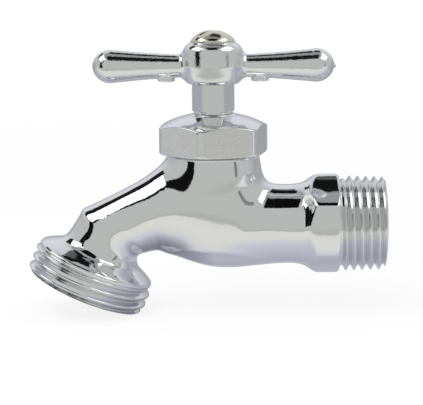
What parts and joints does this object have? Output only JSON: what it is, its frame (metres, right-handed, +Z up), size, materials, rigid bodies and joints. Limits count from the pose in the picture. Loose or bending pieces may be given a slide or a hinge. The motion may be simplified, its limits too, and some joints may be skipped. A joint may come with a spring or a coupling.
{
  "type": "hose bibb",
  "caption": "Compression hose bibb: male inlet thread, sloping spout with hose thread, packing nut and a T-shaped handle that screws the stem up off its seat.",
  "frame": {"origin": "on the inlet axis at the hand-tight plane of the inlet thread, 8.1 mm inside the thread's end", "axes": "+X out of the inlet along its axis, +Z up along the stem, so the spout points towards -X and down"},
  "size_m": [0.0785, 0.027, 0.0622],
  "materials": {
    "plated_casting": "polished",
    "plated_nut": "satin",
    "plated_handle": "polished",
    "nickel_screw": "polished",
    "brass": "machined",
    "seat_rubber": "matte",
    "packing": "matte"
  },
  "bodies": {
    "valve_body": {"body": "plated_casting", "packing_nut": "plated_nut", "thrust_washer": "brass", "packing_ring": "packing", "gland_ring": "brass"},
    "lift": {"seat_washer": "seat_rubber"},
    "spindle": {"stem": "brass", "washer_screw": "brass", "handle": "plated_handle", "handle_screw": "nickel_screw"}
  },
  "joints": [
    {"name": "stem_lift", "type": "slide", "parent": "valve_body", "child": "lift", "axis": [0, 0, 1], "range_m": [0, 0.0051]},
    {"name": "handle_turn", "type": "hinge", "parent": "lift", "child": "spindle", "pos_m": [-0.0295, 0, 0.035], "axis": [0, 0, 1], "range_deg": [0, 720]}
  ],
  "couplings": [
    {"joint": "stem_lift", "follows": "handle_turn", "m_per_rad": 0.00040425}
  ]
}
